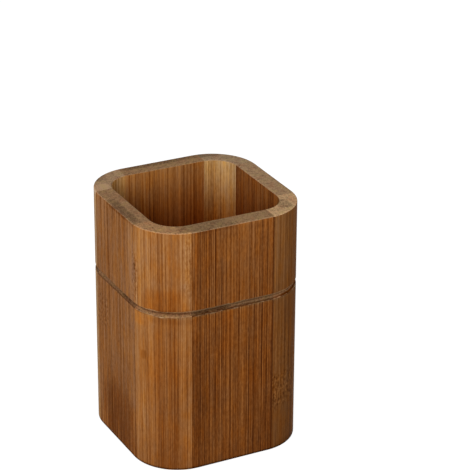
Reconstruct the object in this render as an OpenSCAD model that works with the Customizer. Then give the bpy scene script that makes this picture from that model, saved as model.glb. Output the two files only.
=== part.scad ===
// Square tumbler with rounded upright corners, glued up from bamboo staves.
// Four flat panels and four corner posts are butted edge to edge into a tube,
// which is then rounded outside, milled out inside and grooved all round.
// A base plate is let into a rebate in the staves' feet.
// Millimetres, +Z up. The origin is at the middle of the foot, on the surface
// that the tumbler stands on. The front panel faces -Y.

/* [Body] */
// Width and depth of the square body, over its flat faces
body_w = 65; // [58:1:90]
// Height of the body, from foot to rim
body_h = 96; // [80:1:130]
// Thickness of the walls at the flat faces
wall_t = 7; // [6:0.5:10]
// Radius of the four upright corners outside
outer_corner_r = 18; // [12:0.5:22]
// Radius of the four upright corners inside the well
well_corner_r = 10; // [7:0.5:13]
// Width of each flat panel, from seam to seam
panel_w = 33; // [28:0.5:37]

/* [Groove] */
// Height of the groove's deepest line above the foot
groove_z = 64; // [40:0.5:75]
// Width of the groove across its mouth
groove_w = 2.5; // [1.5:0.1:4]
// Depth of the groove
groove_d = 1; // [0.5:0.1:2]

/* [Edges] */
// Chamfer on the rim's outer and inner edges
rim_break = 0.5; // [0.3:0.1:1.5]
// Chamfer round the outside of the foot
foot_break = 0.5; // [0.2:0.1:0.8]

/* [Base] */
// Thickness of the base plate
base_t = 6; // [4:0.5:9]
// Height of the plate's underside above the foot
base_recess = 1; // [0.5:0.25:3]
// Depth of the rebate in the staves that holds the plate's edge
rebate_d = 3; // [2:0.25:3.5]
// Glue line between the plate's edge and the rebate
glue_gap = 0.1; // [0.05:0.05:0.3]

/* [Hidden] */
$fn = 96;

// How far each cutter runs past the face that it cuts
overrun = 1;

body_half = body_w / 2;
well_half = body_half - wall_t;
rebate_half = well_half + rebate_d;
rebate_r = well_corner_r + rebate_d;
rebate_top = base_recess + base_t;
seam = panel_w / 2;

// Square of half width half, with its corners rounded to radius r
module rounded_square(half, r) {
    flat = half - r;
    square([2 * half, 2 * flat], center = true);
    square([2 * flat, 2 * half], center = true);
    for (x = [-flat, flat], y = [-flat, flat]) {
        translate([x, y]) circle(r);
    }
}

// Upright prism of rounded_square from height z0 to height z1
module rounded_prism(half, r, z0, z1) {
    translate([0, 0, z0]) linear_extrude(z1 - z0) rounded_square(half, r);
}

// Carries a 2D section once round the sides of rounded_square(half, r).
// In the section, x is the distance out from a corner's centre and y is the height.
module sweep_round(half, r) {
    flat = half - r;
    for (turn = [0:3]) {
        rotate(90 * turn) {
            translate([flat, flat, 0]) rotate_extrude(angle = 90) children();
            translate([flat, flat, 0]) rotate([90, 0, 0]) linear_extrude(2 * flat) children();
        }
    }
}

// Triangle that cuts a 45 degree chamfer off the edge at [x, z].
// to_x and to_z are 1 or -1 and point from the edge into the air.
module chamfer_section(x, z, size, to_x, to_z) {
    reach = size + overrun;
    polygon([
        [x + to_x * overrun, z + to_z * overrun],
        [x + to_x * overrun, z - to_z * reach],
        [x - to_x * reach, z + to_z * overrun],
    ]);
}

// V with its point groove_d inside the face at radius r
module groove_section(r) {
    half_mouth = groove_w / 2 * (groove_d + overrun) / groove_d;
    polygon([
        [r - groove_d, groove_z],
        [r + overrun, groove_z - half_mouth],
        [r + overrun, groove_z + half_mouth],
    ]);
}

// The finished tube, before it is divided into staves
module tube() {
    difference() {
        rounded_prism(body_half, outer_corner_r, 0, body_h);
        rounded_prism(well_half, well_corner_r, -overrun, body_h + overrun);
        rounded_prism(rebate_half, rebate_r, -overrun, rebate_top);
        sweep_round(body_half, outer_corner_r) groove_section(outer_corner_r);
        sweep_round(body_half, outer_corner_r) {
            chamfer_section(outer_corner_r, body_h, rim_break, 1, 1);
        }
        sweep_round(well_half, well_corner_r) {
            chamfer_section(well_corner_r, body_h, rim_break, -1, 1);
        }
        sweep_round(body_half, outer_corner_r) {
            chamfer_section(outer_corner_r, 0, foot_break, 1, -1);
        }
    }
}

// Flat stave of the tube, in the middle of its -Y side
module panel_stave() {
    intersection() {
        tube();
        translate([-seam, -body_half - overrun, -overrun]) {
            cube([panel_w, body_half + overrun, body_h + 2 * overrun]);
        }
    }
}

// Corner stave of the tube, at its -X -Y corner
module post_stave() {
    side = body_half - seam + overrun;
    intersection() {
        tube();
        translate([-seam - side, -seam - side, -overrun]) {
            cube([side, side, body_h + 2 * overrun]);
        }
    }
}

module front_panel() {
    color("saddlebrown") panel_stave();
}

module right_panel() {
    color("sienna") rotate(90) panel_stave();
}

module back_panel() {
    color("saddlebrown") rotate(180) panel_stave();
}

module left_panel() {
    color("sienna") rotate(270) panel_stave();
}

module front_left_post() {
    color("peru") post_stave();
}

module front_right_post() {
    color("peru") rotate(90) post_stave();
}

module back_right_post() {
    color("peru") rotate(180) post_stave();
}

module back_left_post() {
    color("peru") rotate(270) post_stave();
}

// Plate that closes the well, held in the rebate clear of the surface below
module base_plate() {
    color("tan") {
        rounded_prism(rebate_half - glue_gap, rebate_r - glue_gap, base_recess, rebate_top);
    }
}

front_panel();
right_panel();
back_panel();
left_panel();
front_left_post();
front_right_post();
back_right_post();
back_left_post();
base_plate();
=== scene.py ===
import math
import random

import bpy
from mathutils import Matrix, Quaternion, Vector


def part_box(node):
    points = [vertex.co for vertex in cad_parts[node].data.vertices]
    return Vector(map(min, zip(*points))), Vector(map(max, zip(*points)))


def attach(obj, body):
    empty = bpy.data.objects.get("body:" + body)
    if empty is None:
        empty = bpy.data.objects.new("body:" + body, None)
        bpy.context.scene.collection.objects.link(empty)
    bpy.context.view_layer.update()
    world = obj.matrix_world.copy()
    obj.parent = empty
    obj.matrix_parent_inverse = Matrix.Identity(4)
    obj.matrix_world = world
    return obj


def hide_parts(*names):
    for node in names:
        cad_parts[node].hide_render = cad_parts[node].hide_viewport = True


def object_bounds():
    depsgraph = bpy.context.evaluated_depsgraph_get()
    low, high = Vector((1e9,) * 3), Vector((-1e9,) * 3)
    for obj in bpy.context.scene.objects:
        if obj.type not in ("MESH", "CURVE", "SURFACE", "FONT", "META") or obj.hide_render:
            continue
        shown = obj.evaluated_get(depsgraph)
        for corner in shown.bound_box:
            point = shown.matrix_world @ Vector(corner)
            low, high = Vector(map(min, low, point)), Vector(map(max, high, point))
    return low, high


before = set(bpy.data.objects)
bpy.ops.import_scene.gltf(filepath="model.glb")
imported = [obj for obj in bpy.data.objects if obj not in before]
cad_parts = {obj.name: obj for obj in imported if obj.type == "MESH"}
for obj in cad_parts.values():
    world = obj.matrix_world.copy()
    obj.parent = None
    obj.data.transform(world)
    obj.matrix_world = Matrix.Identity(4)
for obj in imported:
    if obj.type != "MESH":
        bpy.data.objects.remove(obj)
cad_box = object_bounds()
mm = 0.001


# Camera
# It stands in front of the near corner, a little above the rim, and looks through a long lens.
# The picture is square and hangs a hair out of level.
camera_azimuth = math.radians(27.342)
camera_elevation = math.radians(24.396)
camera_roll = math.radians(0.364)
camera_aim = Vector((12.9, -7.4, 79.0)) * mm
camera_distance = 814 * mm
level = math.cos(camera_elevation)
forward = Vector((
    math.sin(camera_azimuth) * level,
    math.cos(camera_azimuth) * level,
    -math.sin(camera_elevation),
))

lens = bpy.data.cameras.new("camera")
lens.sensor_width = 36
lens.lens = 168.43
camera = bpy.data.objects.new("camera", lens)
camera.location = camera_aim - forward * camera_distance
camera.rotation_mode = "QUATERNION"
camera.rotation_quaternion = forward.to_track_quat("-Z", "Y") @ Quaternion((0, 0, 1), camera_roll)
bpy.context.scene.collection.objects.link(camera)
bpy.context.scene.camera = camera
bpy.context.scene.view_settings.view_transform = "Standard"


# Glued blank
# Eight staves of solid bamboo are glued edge to edge into a square tube. The tube is then worked as
# one block: the upright corners are rounded, the well and the rebate for the base are milled out,
# and a V cutter runs once round the outside.
body_half = cad_box[1].x
body_height = cad_box[1].z
wall = 7 * mm
corner_radius = 18 * mm
well_radius = 10 * mm
groove_height = 64 * mm
groove_width = 2.5 * mm
groove_depth = 1 * mm
rim_break = 0.5 * mm
foot_break = 0.5 * mm
lip_wear = 0.16 * mm
lip_drop = 0.2 * mm
rebate_step = 3 * mm
rebate_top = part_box("base_plate")[1].z
overrun = 1 * mm
tiny = 0.01 * mm
well_half = body_half - wall
rebate_half = well_half + rebate_step
rebate_radius = well_radius + rebate_step
flat_half = body_half - corner_radius


def edit(piece, picked, kind="VERT"):
    """Opens a piece in edit mode with only the elements that picked(element) is true for selected."""
    bpy.ops.object.select_all(action="DESELECT")
    bpy.context.view_layer.objects.active = piece
    piece.select_set(True)
    bpy.ops.object.mode_set(mode="EDIT")
    bpy.ops.mesh.select_mode(type=kind)
    bpy.ops.mesh.select_all(action="DESELECT")
    bpy.ops.object.mode_set(mode="OBJECT")
    mesh = piece.data
    for element in {"VERT": mesh.vertices, "EDGE": mesh.edges, "FACE": mesh.polygons}[kind]:
        element.select = bool(picked(element))
    bpy.ops.object.mode_set(mode="EDIT")


def leave_edit():
    bpy.ops.object.mode_set(mode="OBJECT")


def ends(piece, edge):
    """The places of an edge's two ends."""
    return [piece.data.vertices[i].co for i in edge.vertices]


def apply_modifier(piece, kind, **settings):
    """Adds a modifier to a piece and applies it."""
    bpy.ops.object.select_all(action="DESELECT")
    bpy.context.view_layer.objects.active = piece
    piece.select_set(True)
    modifier = piece.modifiers.new(kind.lower(), kind)
    for key, setting in settings.items():
        setattr(modifier, key, setting)
    bpy.ops.object.modifier_apply(modifier=modifier.name)


def rounded_block(name, half, radius, low, high, steps):
    """A square block whose four upright corners are rounded."""
    bpy.ops.object.select_all(action="DESELECT")
    middle = (low + high) / 2
    bpy.ops.mesh.primitive_cube_add(size=2, location=(0, 0, middle), scale=(half, half, high - middle))
    block = bpy.context.object
    block.name = name
    bpy.ops.object.transform_apply(location=True, rotation=True, scale=True)

    def upright(edge):
        a, b = ends(block, edge)
        return abs(a.z - b.z) > tiny

    edit(block, upright, "EDGE")
    bpy.ops.mesh.bevel(offset=radius, segments=steps, affect="EDGES")
    leave_edit()
    return block


def mill(piece, cutter):
    """Takes the cutter's shape out of a piece."""
    apply_modifier(piece, "BOOLEAN", operation="DIFFERENCE", object=cutter, solver="EXACT")


def slice_through(piece, point, normal, **settings):
    """Cuts a piece's faces along a plane."""
    edit(piece, lambda face: True, "FACE")
    bpy.ops.mesh.bisect(plane_co=point, plane_no=normal, **settings)
    leave_edit()


def gap_to_wall(place, half, radius):
    """How far a place lies outside the upright sides of a rounded square block."""
    x = abs(place.x) - (half - radius)
    y = abs(place.y) - (half - radius)
    return math.hypot(max(x, 0), max(y, 0)) + min(max(x, y), 0) - radius


def on_outside(place):
    return gap_to_wall(place, body_half, corner_radius) > -tiny


def on_well(place):
    return abs(gap_to_wall(place, well_half, well_radius)) < tiny


def break_edge(piece, height, on_wall, width, steps):
    """Rounds the level edge that runs round a wall at a height."""
    def picked(edge):
        return all(abs(place.z - height) < tiny and on_wall(place) for place in ends(piece, edge))

    edit(piece, picked, "EDGE")
    bpy.ops.mesh.bevel(offset=width, segments=steps, affect="EDGES")
    leave_edit()


blank = rounded_block("blank", body_half, corner_radius, 0, body_height, 32)
well = rounded_block("well", well_half, well_radius, -overrun, body_height + overrun, 20)
rebate = rounded_block("rebate", rebate_half, rebate_radius, -overrun, rebate_top, 20)
for cutter in (well, rebate):
    mill(blank, cutter)
    bpy.data.objects.remove(cutter)

columns = 28
for i in range(columns + 1):
    place = flat_half * (2 * i / columns - 1)
    slice_through(blank, (place, 0, 0), (1, 0, 0))
    slice_through(blank, (0, place, 0), (0, 1, 0))
rows = 32
for i in range(1, rows):
    place = body_height * i / rows
    if abs(place - groove_height) > groove_width:
        slice_through(blank, (0, 0, place), (0, 0, 1))

groove_low = groove_height - groove_width / 2
groove_high = groove_height + groove_width / 2
for place in (groove_low, groove_height, groove_high):
    slice_through(blank, (0, 0, place), (0, 0, 1))
edit(blank, lambda vertex: abs(vertex.co.z - groove_height) < tiny and on_outside(vertex.co))
bpy.ops.transform.shrink_fatten(value=-groove_depth)
leave_edit()

break_edge(blank, body_height, on_outside, rim_break, 4)
break_edge(blank, body_height, on_well, rim_break, 4)
break_edge(blank, 0, on_outside, foot_break, 3)
break_edge(blank, groove_low, on_outside, lip_wear, 2)
break_edge(blank, groove_high, on_outside, lip_wear, 2)

# The cutter has torn the lips of the groove here and there, so short runs of them are nudged.
chance = random.Random(8)
for nudge in (-0.16, -0.1, 0.08, 0.12):
    torn = [chance.uniform(-math.pi, math.pi) for _ in range(9)]

    def on_torn_lip(vertex):
        place = vertex.co
        near_lip = abs(abs(place.z - groove_height) - groove_width / 2) < 2 * lip_wear
        turned = math.atan2(place.y, place.x)
        in_run = any(abs(turned - middle) < chance.uniform(0.02, 0.07) for middle in torn)
        return near_lip and gap_to_wall(place, body_half, corner_radius) > -lip_wear and in_run

    edit(blank, on_torn_lip)
    bpy.ops.transform.translate(value=(0, 0, nudge * mm))
    leave_edit()


def on_hanging_lip(vertex):
    """The upper lip over the front half of the left side, which hangs a little lower."""
    place = vertex.co
    near_lip = abs(place.z - groove_high) < 2 * lip_wear
    on_side = place.x < -28 * mm and -23 * mm < place.y < 4 * mm
    return near_lip and gap_to_wall(place, body_half, corner_radius) > -lip_wear and on_side


edit(blank, on_hanging_lip)
bpy.ops.transform.translate(value=(0, 0, -lip_drop))
leave_edit()


# Front panel
# A flat stave of bamboo, cut from the blank between its two seams, with the fibres upright. It is the
# darkest of the four, with many fine dark lines, and it was glued in a hair to the left of the middle.
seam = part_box("front_panel")[1].x
front_shift = -0.6 * mm
seam_softness = 0.04 * mm
same_point = 0.002 * mm
sharp_above = math.radians(40)
smooth_below = math.radians(30)
quarter = math.pi / 2


def copy_of_blank(name):
    piece = blank.copy()
    piece.data = blank.data.copy()
    piece.name = name
    piece.data.name = name
    bpy.context.scene.collection.objects.link(piece)
    return piece


def cut_panel(node, turns, shift=0):
    """Saws a panel out of the blank: the front one, or the one that many quarter turns on from it."""
    piece = copy_of_blank(node + "_bamboo")
    turn = Quaternion((0, 0, 1), quarter * turns)
    side = turn @ Vector((1, 0, 0))
    back = turn @ Vector((0, 1, 0))
    slice_through(piece, (0, 0, 0), back, clear_outer=True)
    slice_through(piece, side * (shift + seam), side, use_fill=True, clear_outer=True)
    slice_through(piece, side * (shift - seam), -side, use_fill=True, clear_outer=True)
    return piece


def finish_stave(piece, node, splits=()):
    """Softens the sawn edges of a stave, opens its splits, and lets it stand for its node."""
    apply_modifier(
        piece, "BEVEL", width=seam_softness, segments=1, limit_method="ANGLE", angle_limit=sharp_above
    )
    for split in splits:
        mill(piece, split)

    # Points that the cuts have left on top of each other are merged.
    edit(piece, lambda vertex: True)
    bpy.ops.mesh.remove_doubles(threshold=same_point)
    bpy.ops.mesh.dissolve_degenerate(threshold=same_point)
    leave_edit()
    bpy.ops.object.shade_smooth_by_angle(angle=smooth_below)
    apply_modifier(piece, "WEIGHTED_NORMAL", keep_sharp=True)
    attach(piece, "root")
    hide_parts(node)


def shade(red, green, blue):
    """A colour as a screen shows it, 0 to 255, in the values that the renderer counts in."""
    parts = (red / 255, green / 255, blue / 255)
    return tuple(c / 12.92 if c <= 0.04045 else ((c + 0.055) / 1.055) ** 2.4 for c in parts) + (1,)


class Value:
    """A shader socket that plain arithmetic can be written with."""

    def __init__(self, tree, socket):
        self.tree = tree
        self.socket = socket

    def node(self, kind, settings, sockets, output=0):
        """Adds a node: its type, then its settings, then the values or links of its sockets."""
        made = self.tree.nodes.new("ShaderNode" + kind)
        for key, setting in settings.items():
            if key == "stops":
                ramp = made.color_ramp
                while len(ramp.elements) < len(setting):
                    ramp.elements.new(1)
                for stop, (position, level) in zip(ramp.elements, setting):
                    stop.position = position
                    stop.color = (level, level, level, 1)
            else:
                setattr(made, key, setting)
        for key, given in sockets.items():
            if isinstance(given, Value):
                self.tree.links.new(given.socket, made.inputs[key])
            else:
                made.inputs[key].default_value = given
        return Value(self.tree, made.outputs[output])

    def math(self, operation, *others):
        return self.node("Math", {"operation": operation}, dict(enumerate((self, *others))))

    def __add__(self, other):
        return self.math("ADD", other)

    def __radd__(self, other):
        return self.math("ADD", other)

    def __sub__(self, other):
        return self.math("SUBTRACT", other)

    def __rsub__(self, other):
        return self.node("Math", {"operation": "SUBTRACT"}, {0: other, 1: self})

    def __mul__(self, other):
        return self.math("MULTIPLY", other)

    def __rmul__(self, other):
        return self.math("MULTIPLY", other)

    def __truediv__(self, other):
        return self.math("DIVIDE", other)

    def __abs__(self):
        return self.math("ABSOLUTE")

    def vector(self, operation, other=None, output=0):
        sockets = {0: self} if other is None else {0: self, 1: other}
        return self.node("VectorMath", {"operation": operation}, sockets, output)

    def drawn_out(self, x, y, z):
        """The place with each axis scaled, so that a pattern read there is longer or shorter."""
        return self.vector("MULTIPLY", (x, y, z))

    def towards(self, direction):
        """How far a place or a normal reaches along a direction."""
        return self.vector("DOT_PRODUCT", direction, output=1)

    def rise(self, low, high):
        """0 below low and 1 above high, with a soft step between them."""
        settings = {"interpolation_type": "SMOOTHSTEP"}
        return self.node("MapRange", settings, {"Value": self, "From Min": low, "From Max": high})

    def curve(self, points):
        """A level that follows given points along this value."""
        first = points[0][0]
        span = points[-1][0] - first
        stops = [((place - first) / span, level) for place, level in points]
        share = (self - first) / span
        return share.node("ValToRGB", {"stops": stops}, {"Fac": share})

    def noise(self, scale, detail=0):
        """Soft noise about zero."""
        return self.node("TexNoise", {}, {"Vector": self, "Scale": scale, "Detail": detail}) - 0.5

    def blend(self, one, other, mode="MIX"):
        """The first colour where this value is 0 and the second where it is 1."""
        settings = {"data_type": "RGBA", "blend_type": mode}
        return self.node("Mix", settings, {0: self, 6: one, 7: other}, 2)


def reach_from(place, centre, reach):
    """How far a place is from a centre, counted in its reach each way, on a slightly squared circle."""
    off = place.vector("SUBTRACT", centre).vector("DIVIDE", reach)
    return off.vector("MULTIPLY", off).vector("LENGTH", output=1)


# What the tones are multiplied by where the wood is warmer or greyer, golden or dull, red or olive on
# a cut end, where a highlight is painted on the rim's outer edge and just below the groove, where the
# groove is darker, where a contact shadow is painted at the foot, and where shade is painted deep in
# the well.
warm_wood = (1.08, 0.86, 0.45, 1)
grey_wood = (0.96, 1.13, 1.7, 1)
golden_wood = (1.06, 0.97, 0.72, 1)
dull_wood = (0.95, 1.02, 1.25, 1)
olive_end = (0.96, 1.0, 0.88, 1)
red_end = (1.07, 0.95, 0.92, 1)
rim_highlight_colour = (1.15, 1.16, 1.22, 1)
lip_highlight_colour = (1.0, 1.17, 1.45, 1)
groove_darkening = (0.2, 0.075, 0.0, 1)
foot_shadow_colour = (0.3, 0.26, 0.22, 1)
well_shade_colour = (0.7, 0.3, 0.02, 1)
wood_gloss = 0.006
fibre_relief = 0.02 * mm


def bamboo(
    piece, dark, middle, light, end, across, bands, heights, start,
    contrast=1, lines=0.3, run=250, lean=0, groove_darkness=((62, 0), (66, 0)), flecks=(), marks=(),
):
    """Solid bamboo with upright fibres, or with fibres that lean that far over toward the right.

    dark, middle and light are its tones along the fibres and end is the tone of a cut across them.
    bands and heights are points, in millimetres, of how light it is across and up the stave, with 0.5
    for the middle tone. start is where in the culm it was cut, and run is how long a fibre keeps its
    tone. contrast is how much the strands differ and lines how dark the thin lines between them are.
    groove_darkness gives how much darker the groove is at each height. Flecks are places, with their
    reach and their strength, where the fibres are broken up. A mark is a place, its reach each way, how
    much lighter it is and how much warmer, where less than nothing is darker or greyer.
    """
    material = bpy.data.materials.new(piece.name)
    material.use_nodes = True
    tree = material.node_tree
    shader = tree.nodes["Principled BSDF"]
    shader.inputs["Specular IOR Level"].default_value = wood_gloss

    metres = Value(tree, tree.nodes.new("ShaderNodeTexCoord").outputs["Object"])
    place = metres.drawn_out(1000, 1000, 1000)
    facing = Value(tree, tree.nodes.new("ShaderNodeNewGeometry").outputs["Normal"])
    inward = place.drawn_out(-1, -1, 0).towards(facing).rise(-2, 2)
    cut_across = abs(facing.towards((math.sin(lean), 0, math.cos(lean)))).rise(0.3, 0.62)
    height = place.towards((0, 0, 1))
    rim_start = (body_height - rim_break) / mm
    slanting = 1 - abs(facing.towards((0, 0, 1)) - 0.5).rise(0.2, 0.45)
    rim_highlight_area = (1 - inward) * height.rise(rim_start - 0.1, rim_start + 0.1) * slanting

    # What varies across the fibres is drawn out along them: strands a few to the millimetre, thin dark
    # lines that come and go between them, and short dashes where a vessel was cut open.
    upright = place.node("VectorRotate", {"rotation_type": "Y_AXIS"}, {"Vector": place, "Angle": -lean})
    culm = upright.vector("ADD", start)
    fibres = culm.drawn_out(1, 1, 1 / run)
    strands = 2.6 * fibres.noise(4.4, 1) + 1.0 * fibres.noise(2.1) + 0.15 * fibres.noise(0.9)
    broad = 0.2 * culm.drawn_out(1, 1, 0.04).noise(0.16, 1) + 0.3 * culm.noise(0.03, 1)
    fading = culm.drawn_out(1, 1, 0.06).noise(0.5, 1).rise(-0.25, 0.15)
    cells = fibres.node("TexVoronoi", {}, {"Vector": fibres, "Scale": 1.15})
    line = fading * (1 - cells.rise(0.12, 0.42))
    dashes = culm.drawn_out(1, 1, 0.1).noise(2.4, 1).rise(0.13, 0.22)
    short = 0.9 * culm.drawn_out(1, 1, 0.05).noise(2.0, 2)
    short = short + 0.8 * culm.drawn_out(1, 1, 0.35).noise(1.6, 2)
    tone = place.towards(across).curve(bands) + place.towards((0, 0, 1)).curve(heights) - 0.5
    tone = tone + contrast * (strands + short) - lines * line + broad - 0.12 * dashes
    warmth = 0.4 * culm.drawn_out(1, 1, 0.15).noise(0.12, 2).rise(0.0, 0.3)
    warmth = warmth + 0.5 * fibres.noise(0.8, 1).rise(0, 0.25)

    # Cut across, the bundles of fibres show as dots, and the cut is greyer than the sides.
    dots = 1 - culm.node("TexVoronoi", {}, {"Vector": culm, "Scale": 1.25}).rise(0.12, 0.38)
    cut_tone = 0.66 + 0.5 * culm.noise(0.3, 2) + 0.8 * culm.noise(0.7, 1) + 1.5 * culm.noise(1.8, 2)
    cut_tone = cut_tone - 0.4 * dots

    # Marks and broken places have ragged edges.
    ragged = (0.7 - 0.2 * cut_across) * culm.drawn_out(1, 1, 0.2).noise(0.6, 2) + 0.5 * culm.noise(0.1, 1)
    darker_groove = (height + 0.75 * culm.noise(0.8, 3)).curve(groove_darkness)
    for centre, reach, lighter, warmer in marks:
        inside = 1 - (reach_from(place, centre, reach) + ragged).rise(0.3, 1.15)
        darker_groove = darker_groove - lighter * inside
        tone = tone + lighter * inside
        cut_tone = cut_tone + lighter * inside
        warmth = warmth + warmer * inside
    broken = culm.drawn_out(1, 1, 0.45).noise(1.6, 3)
    for centre, reach, strength in flecks:
        inside = 1 - (reach_from(place, centre, reach) + 2 * ragged).rise(0.3, 1.1)
        tone = tone + strength * inside * (broken - 0.01)

    along = (2 * tone).blend(dark, middle)
    along = (2 * tone - 1).blend(along, light)
    along = warmth.blend(along, warm_wood, "MULTIPLY")
    along = (-1 * warmth).blend(along, grey_wood, "MULTIPLY")
    patches = culm.drawn_out(1, 1, 0.4).noise(0.35, 2) + 0.7 * fibres.noise(1.1, 1)
    along = patches.rise(0, 0.22).blend(along, golden_wood, "MULTIPLY")
    along = patches.rise(0, -0.22).blend(along, dull_wood, "MULTIPLY")
    deep_end = tuple(0.6 * part for part in end[:3]) + (1,)
    pale_end = tuple(1.9 * part for part in end[:3]) + (1,)
    across_cut = cut_tone.blend(deep_end, pale_end)
    hue = culm.noise(0.3, 2)
    across_cut = hue.rise(0, 0.2).blend(across_cut, olive_end, "MULTIPLY")
    across_cut = hue.rise(0, -0.2).blend(across_cut, red_end, "MULTIPLY")
    colour = cut_across.blend(along, across_cut)
    # A highlight is painted on the rim's outer rounded edge.
    colour = rim_highlight_area.blend(colour, rim_highlight_colour, "MULTIPLY")

    # The groove is darker, a highlight is painted on the front just below the groove, a contact shadow is
    # painted along the foot, and shade is painted in the well, darker toward its floor.
    half_groove = groove_width / 2 / mm
    in_groove = 1 - abs(height - groove_height / mm).rise(half_groove - 0.1, half_groove + 0.25)
    colour = (darker_groove * (1 - inward) * in_groove).blend(colour, groove_darkening, "MULTIPLY")
    # A highlight is painted on the front in a strip just below the groove's lower lip.
    below_lip = groove_low / mm - 0.3
    lip_highlight_area = place.towards((0, -1, 0)).rise(16, 26) * (1 - abs(height - below_lip).rise(0.15, 0.55))
    colour = lip_highlight_area.blend(colour, lip_highlight_colour, "MULTIPLY")
    # A contact shadow is painted along the outside of the foot.
    foot_shadow_area = (1 - inward) * (1 - height.rise(0.4, 1.3))
    colour = foot_shadow_area.blend(colour, foot_shadow_colour, "MULTIPLY")
    # Shade is painted deep in the well, darker toward its floor.
    well_shade_area = inward * (1 - height.rise(60, 98))
    colour = well_shade_area.blend(colour, well_shade_colour, "MULTIPLY")
    tree.links.new(colour.socket, shader.inputs["Base Color"])

    rough = 0.52 + 0.12 * line + 0.15 * cut_across + 0.1 * dashes
    tree.links.new(rough.socket, shader.inputs["Roughness"])
    relief = 0.4 * strands - 0.6 * line * (1 - cut_across) - 0.6 * dashes - 0.5 * dots * cut_across
    bump = relief.node("Bump", {}, {"Height": relief, "Strength": 1, "Distance": fibre_relief})
    tree.links.new(bump.socket, shader.inputs["Normal"])
    piece.data.materials.clear()
    piece.data.materials.append(material)


front_panel = cut_panel("front_panel", 0, front_shift)
bamboo(
    front_panel,
    dark=shade(78, 38, 12), middle=shade(118, 67, 27), light=shade(158, 102, 52),
    end=shade(124, 97, 69),
    across=(1, 0, 0),
    bands=[
        (-17.5, 0.32), (-15, 0.36), (-12, 0.36), (-9, 0.45), (-5, 0.56), (-3.9, 0.6), (-3.5, 0.34),
        (-2.5, 0.5), (0, 0.58), (4, 0.57), (7, 0.52), (11, 0.44), (13, 0.4), (15, 0.38), (15.4, 0.18),
        (15.9, 0.14),
    ],
    heights=[(0, 0.4), (20, 0.42), (48, 0.49), (80, 0.6), (96, 0.63)],
    start=(300, 40, 0), contrast=0.82, lines=0.7, run=400,
    groove_darkness=[
        (62.65, 0.1), (62.85, 0.5), (63, 0.85), (63.2, 0.9), (63.4, 0.64), (63.6, 0.44), (63.85, 0.45),
        (64.05, 0.5), (64.6, 0.5), (64.9, 0.32), (65.2, 0),
    ],
    marks=[
        ((-15.5, -32.5, 28), (1.8, 2, 34), -0.12, 0),
        ((-10, -32, 63.8), (9, 4, 0.5), -0.28, 0),
        ((-10, -32.5, 10), (7, 2, 14), 0.08, 0),
        ((9, -32.5, 10), (6, 2, 14), -0.07, 0),
        ((-8.5, -29, 96), (8.5, 6, 1.5), -0.16, 0),
        ((8, -29, 96), (8, 6, 1.5), 0.12, 0),
        ((-3, -32.5, 55), (3, 2, 14), 0, 0.5),
    ],
)
finish_stave(front_panel, "front_panel")


# Right panel
# The same stave a quarter turn on, a warm red brown on both of its faces. It is milled, grooved and
# glued up with the rest, and its stretch of the groove is darker.
even_darkness = [(62.75, 0), (63.1, 0.7), (63.5, 0.5), (64.1, 0.7), (64.6, 0.4), (65.25, 0)]
right_panel = cut_panel("right_panel", 1)
bamboo(
    right_panel,
    dark=shade(88, 44, 16), middle=shade(128, 74, 32), light=shade(162, 106, 56),
    end=shade(140, 112, 84),
    across=(0, 1, 0),
    bands=[(-17, 0.5), (-12, 0.4), (-8, 0.55), (0, 0.47), (9, 0.57), (17, 0.4)],
    heights=[(0, 0.43), (50, 0.5), (96, 0.57)],
    start=(520, 90, 30), contrast=0.75, lines=0.5, run=400,
    groove_darkness=even_darkness,
)
finish_stave(right_panel, "right_panel")


# Back panel
# A stave with clear upright stripes, which show on the far side of the well. Its cut end is darker
# toward the outside of the wall.
back_panel = cut_panel("back_panel", 2)
bamboo(
    back_panel,
    dark=shade(100, 52, 18), middle=shade(150, 94, 44), light=shade(186, 130, 74),
    end=shade(130, 100, 71),
    across=(1, 0, 0),
    bands=[
        (-17, 0.72), (-15, 0.68), (-12.5, 0.67), (-10.5, 0.54), (-8, 0.48), (-6, 0.48), (-3, 0.53),
        (-1, 0.59), (1, 0.64), (2.6, 0.72), (3.8, 0.5), (5, 0.44), (6.6, 0.6), (8.5, 0.42), (10.5, 0.48),
        (12.5, 0.33), (14.3, 0.46), (17, 0.54),
    ],
    heights=[(0, 0.45), (60, 0.46), (80, 0.58), (96, 0.7)],
    start=(760, 10, 60), contrast=0.55, lines=0.35, run=400,
    groove_darkness=even_darkness,
    marks=[((0, 31.5, 96), (20, 2.4, 1.5), -0.4, 0)],
)
finish_stave(back_panel, "back_panel")


# Left panel
# A duller, quieter stave, darker and redder toward the foot, with a lighter strip along its front seam
# and the edge of a culm joint at its back. Above the groove its seam to the front left post has opened,
# so it is finished together with that post.
left_panel = cut_panel("left_panel", 3)
bamboo(
    left_panel,
    dark=shade(92, 48, 10), middle=shade(134, 85, 45), light=shade(168, 119, 76),
    end=shade(132, 101, 72),
    across=(0, 1, 0),
    bands=[
        (-17, 0.54), (-14.8, 0.6), (-14, 0.73), (-12, 0.75), (-11, 0.54), (-2, 0.52), (5, 0.46),
        (10, 0.54), (12, 0.64), (14.4, 0.66), (17, 0.56),
    ],
    heights=[(0, 0.44), (35, 0.46), (96, 0.55)],
    start=(980, 130, 90), contrast=0.85, lines=0.35, run=250,
    groove_darkness=[
        (62.5, 0.4), (62.7, 0.8), (63, 0.78), (63.3, 0.52), (63.6, 0.5), (64, 0.58), (64.3, 0.55),
        (64.6, 0.28), (64.9, 0),
    ],
    flecks=[((-32.5, 12, 51), (3, 6, 9), 2.2), ((-32.5, -15.6, 76), (2, 1.3, 11), 2)],
    marks=[
        ((-32.5, -2, 3), (4, 17, 23), -0.27, 0.3),
        ((-32.5, -14, 80), (2, 3, 17), 0.16, -0.2),
        ((-32, -11, 63.9), (3, 7, 0.7), -0.16, 0),
        ((-32, 12, 64), (3, 7, 1.6), 0.08, 0),
        ((-31, -4.8, 96), (2.3, 13.5, 1.5), -0.41, 0),
    ],
)
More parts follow.
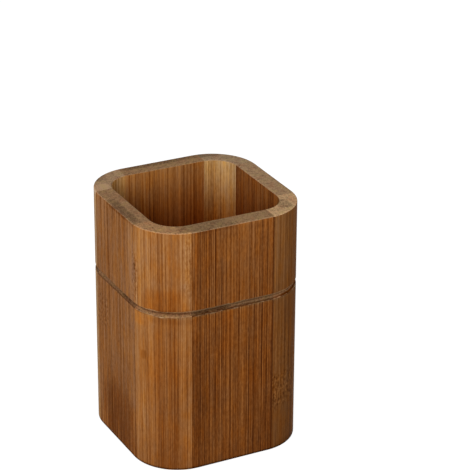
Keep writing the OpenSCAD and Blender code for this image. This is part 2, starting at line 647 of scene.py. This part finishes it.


# Corner posts
# Four staves of square section, glued between the panels, with the rounded corners on them. The one
# at the front left is golden, the front right one is greyer and has a culm joint low on it. A sheen is
# painted in a greyer strip along the tumbler's left outline on the back left post and along its right
# outline on the front right post.
def cut_post(node, turns, side_seam=seam, back_seam=seam):
    """Saws a corner post out of the blank: the front left one, or one that many quarter turns on."""
    piece = copy_of_blank(node + "_bamboo")
    turn = Quaternion((0, 0, 1), quarter * turns)
    side = turn @ Vector((1, 0, 0))
    back = turn @ Vector((0, 1, 0))
    slice_through(piece, -side * side_seam, side, use_fill=True, clear_outer=True)
    slice_through(piece, -back * back_seam, back, use_fill=True, clear_outer=True)
    return piece


def splinter(height, length, width, depth):
    """A sliver of wood that has come away at the seam of the left panel and the front left post."""
    bpy.ops.object.select_all(action="DESELECT")
    at_seam = (-body_half + 0.1 * mm, -seam, height)
    bpy.ops.mesh.primitive_uv_sphere_add(segments=16, ring_count=12, radius=1, location=at_seam)
    sliver = bpy.context.object
    sliver.scale = (depth, width / 2, length / 2)
    bpy.ops.object.transform_apply(location=True, rotation=True, scale=True)
    return sliver


# The seam has opened above the groove, and these slivers of wood are missing there.
slivers = [
    splinter(height * mm, length * mm, width * mm, depth * mm)
    for height, length, width, depth in (
        (79.3, 5.5, 0.9, 1.0), (74.8, 3.8, 0.7, 0.9), (71.3, 2.4, 0.6, 0.7),
        (83.6, 3.0, 0.5, 0.6), (68.6, 1.8, 0.5, 0.6),
    )
]
diagonal = math.sqrt(0.5)
front_left_post = cut_post("front_left_post", 0, side_seam=seam - front_shift)
bamboo(
    front_left_post,
    dark=shade(106, 58, 22), middle=shade(148, 95, 49), light=shade(184, 134, 84),
    end=shade(147, 111, 77),
    across=(diagonal, -diagonal, 0),
    bands=[
        (-12, 0.68), (-10, 0.68), (-8.6, 0.72), (-7.4, 0.7), (-5.6, 0.47), (-3.9, 0.5), (-1, 0.38),
        (1, 0.33), (3, 0.38), (5.6, 0.34), (6.6, 0.5), (10, 0.57), (12, 0.5),
    ],
    heights=[(0, 0.31), (20, 0.37), (48, 0.47), (80, 0.57), (96, 0.6)],
    start=(40, 400, 0), contrast=0.5, lines=0.55, run=250,
    groove_darkness=[(62.75, 0), (63, 0.12), (63.5, 0.22), (63.9, 0.5), (64.3, 0.65), (64.6, 0.3), (64.9, 0)],
    flecks=[((-17, -32.3, 82), (4, 3, 15), 1.1), ((-32.5, -17.6, 76), (2, 1.4, 11), 2)],
    marks=[
        ((-32.3, -16.8, 76), (1.2, 0.8, 10), -0.3, 0.2),
        ((-26, -27, 68), (9, 7, 6), -0.1, 0.6),
        ((-22, -30, 63), (10, 8, 3.5), -0.12, 0),
        ((-32, -17.5, 60.5), (3, 6, 3.5), 0.05, 0.6),
        ((-24, -29.5, 42), (10, 8, 8), -0.01, 0.25),
        ((-31, -21, 46), (1.5, 1.5, 2), -0.2, 0),
        ((-31, -20, 63.6), (3, 5, 0.7), -0.1, 0),
        ((-29.3, -23.8, 64.7), (4, 3.5, 0.5), 0.25, 0),
        ((-32, -18, 62.8), (3, 5, 0.5), -0.25, 0),
        ((-18, -28, 96), (3, 3.5, 1.5), -0.35, 0),
    ],
)
finish_stave(front_left_post, "front_left_post", slivers)
finish_stave(left_panel, "left_panel", slivers)
for sliver in slivers:
    bpy.data.objects.remove(sliver)

front_right_post = cut_post("front_right_post", 1, back_seam=seam + front_shift)
bamboo(
    front_right_post,
    dark=shade(72, 38, 12), middle=shade(113, 69, 32), light=shade(148, 100, 55),
    end=shade(164, 132, 97),
    across=(diagonal, diagonal, 0),
    bands=[(-12, 0.56), (-9, 0.56), (-5, 0.5), (0, 0.46), (5, 0.46), (12, 0.5)],
    heights=[(0, 0.48), (50, 0.52), (70, 0.6), (96, 0.66)],
    start=(90, 620, 30), contrast=0.4, lines=0.2, run=200,
    groove_darkness=[
        (62.7, 0), (62.9, 0.5), (63.1, 0.82), (63.3, 0.94), (63.5, 0.82), (63.8, 0.66), (64.2, 0.68),
        (64.8, 0.66), (65.1, 0.5), (65.3, 0),
    ],
    flecks=[((22, -30, 24), (14, 12, 8), 2.1), ((21, -31, 42), (5, 4, 9), 0.6)],
    marks=[
        ((24, -24, 96), (3, 4.5, 1.5), -0.35, 0),
        ((27, -28, 63.1), (9, 7, 0.6), -0.15, 0),
        # This mark darkens the foot: a painted contact shadow.
        ((26, -26, 0), (10, 10, 3), -0.16, 0),
        # This mark greys a strip along the tumbler's right outline: a painted sheen.
        ((32.5, -22, 48), (3.5, 6, 90), 0.02, -0.7),
    ],
)
finish_stave(front_right_post, "front_right_post")

back_right_post = cut_post("back_right_post", 2)
bamboo(
    back_right_post,
    dark=shade(132, 88, 44), middle=shade(182, 137, 82), light=shade(212, 170, 114),
    end=shade(138, 114, 88),
    across=(diagonal, -diagonal, 0),
    bands=[
        (-12, 0.46), (-7, 0.56), (-5.5, 0.6), (-3.4, 0.36), (-1, 0.5), (1.5, 0.72), (4, 0.68), (12, 0.45),
    ],
    heights=[(0, 0.4), (60, 0.34), (77, 0.4), (85, 0.54), (96, 0.68)],
    start=(140, 840, 60), contrast=0.8, lines=0.4, run=300,
    groove_darkness=even_darkness,
    marks=[((21, 30, 96), (9, 2, 1.5), -0.4, 0)],
)
finish_stave(back_right_post, "back_right_post")

back_left_post = cut_post("back_left_post", 3)
bamboo(
    back_left_post,
    dark=shade(130, 80, 34), middle=shade(178, 126, 68), light=shade(206, 160, 102),
    end=shade(143, 115, 88),
    across=(diagonal, diagonal, 0),
    bands=[(-12, 0.5), (-4, 0.55), (3.5, 0.52), (5, 0.66), (6.5, 0.72), (12, 0.68)],
    heights=[(0, 0.45), (60, 0.45), (80, 0.6), (96, 0.75)],
    start=(190, 60, 90), contrast=0.8, lines=0.4, run=300,
    groove_darkness=even_darkness,
    marks=[
        # The first mark greys a strip along the tumbler's left outline: a painted sheen.
        ((-32, 20.5, 48), (4, 7, 90), -0.1, -1.3),
        ((-29.5, 19.2, 96), (4.5, 3, 1.5), 0.5, 0),
        ((-28, 28, 96), (5, 4, 1.5), -0.35, 0),
    ],
)
finish_stave(back_left_post, "back_left_post")
bpy.data.objects.remove(blank)


# Base plate
# A square of bamboo board with rounded corners, made of three strips whose glue lines run across it.
# It is glued up into the rebate under the well, and stands clear of what the tumbler stands on.
plate_low, plate_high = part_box("base_plate")
plate_half = plate_high.x
plate_radius = 12.9 * mm
plate_edge = 0.3 * mm
base_plate = rounded_block("base_plate_bamboo", plate_half, plate_radius, plate_low.z, plate_high.z, 16)
for height in (plate_low.z, plate_high.z):
    break_edge(base_plate, height, lambda place: True, plate_edge, 2)
bamboo(
    base_plate,
    dark=shade(110, 68, 32), middle=shade(144, 100, 56), light=shade(176, 132, 84),
    end=shade(150, 105, 62),
    across=(0, 1, 0),
    bands=[
        (-29, 0.5), (-10.1, 0.46), (-9.9, 0.3), (-9.7, 0.58), (9.7, 0.55), (9.9, 0.3), (10.1, 0.44),
        (29, 0.5),
    ],
    heights=[(0, 0.45), (50, 0.5), (96, 0.55)],
    start=(390, 60, 290), contrast=0.6, lines=0.4, lean=quarter,
)
bpy.ops.object.shade_smooth_by_angle(angle=smooth_below)
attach(base_plate, "root")
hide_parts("base_plate")


# Floor and light
# A pale sweep under a soft, even studio light: a wide soft box stands high at the front left and the
# white room fills the shadows.
room_light = 0.45
paper_shade = (0.22, 0.22, 0.22, 1)
paper_glow = 0.92


def looked_at(tree):
    """1 for what the camera sees, also in a mirror or through glass, and 0 for what only sends light."""
    path = tree.nodes.new("ShaderNodeLightPath")
    seen, mirrored, through = (
        Value(tree, path.outputs["Is " + ray + " Ray"]) for ray in ("Camera", "Glossy", "Transmission")
    )
    return seen.math("MAXIMUM", mirrored).math("MAXIMUM", through)


world = bpy.data.worlds.new("room")
bpy.context.scene.world = world
world.use_nodes = True
background = world.node_tree.nodes["Background"]
background.inputs["Color"].default_value = (1, 1, 1, 1)
background.inputs["Strength"].default_value = room_light
seen = world.node_tree.nodes.new("ShaderNodeBackground")
seen.inputs["Color"].default_value = (1, 1, 1, 1)
seen.inputs["Strength"].default_value = 1
choice = world.node_tree.nodes.new("ShaderNodeMixShader")
links = world.node_tree.links
links.new(looked_at(world.node_tree).socket, choice.inputs[0])
links.new(background.outputs[0], choice.inputs[1])
links.new(seen.outputs[0], choice.inputs[2])
links.new(choice.outputs[0], world.node_tree.nodes["World Output"].inputs["Surface"])

floor_half = 3
hair = 0.05 * mm
bpy.ops.object.select_all(action="DESELECT")
bpy.ops.mesh.primitive_plane_add(size=2 * floor_half, location=(0, 0, -hair))
floor = bpy.context.object
floor.name = "floor"
paper = bpy.data.materials.new("floor")
paper.use_nodes = True
tree = paper.node_tree
tree.nodes["Principled BSDF"].inputs["Base Color"].default_value = (0.7, 0.7, 0.7, 1)
tree.nodes["Principled BSDF"].inputs["Roughness"].default_value = 0.9
shadowed = tree.nodes.new("ShaderNodeBsdfDiffuse")
shadowed.inputs["Color"].default_value = paper_shade
glow = tree.nodes.new("ShaderNodeEmission")
glow.inputs["Strength"].default_value = paper_glow
both = tree.nodes.new("ShaderNodeAddShader")
tree.links.new(shadowed.outputs[0], both.inputs[0])
tree.links.new(glow.outputs[0], both.inputs[1])
choice = tree.nodes.new("ShaderNodeMixShader")
tree.links.new(looked_at(tree).socket, choice.inputs[0])
tree.links.new(tree.nodes["Principled BSDF"].outputs[0], choice.inputs[1])
tree.links.new(both.outputs[0], choice.inputs[2])
tree.links.new(choice.outputs[0], tree.nodes["Material Output"].inputs["Surface"])
floor.data.materials.append(paper)

softbox = bpy.data.lights.new("soft box", "AREA")
softbox.shape = "SQUARE"
softbox.size = 1.2
softbox.energy = 26
lamp = bpy.data.objects.new("soft box", softbox)
lamp.location = (-1.22, -1.34, 0.9)
lamp.rotation_mode = "QUATERNION"
lamp.rotation_quaternion = (Vector((0, 0, 0.05)) - lamp.location).to_track_quat("-Z", "Y")
bpy.context.scene.collection.objects.link(lamp)
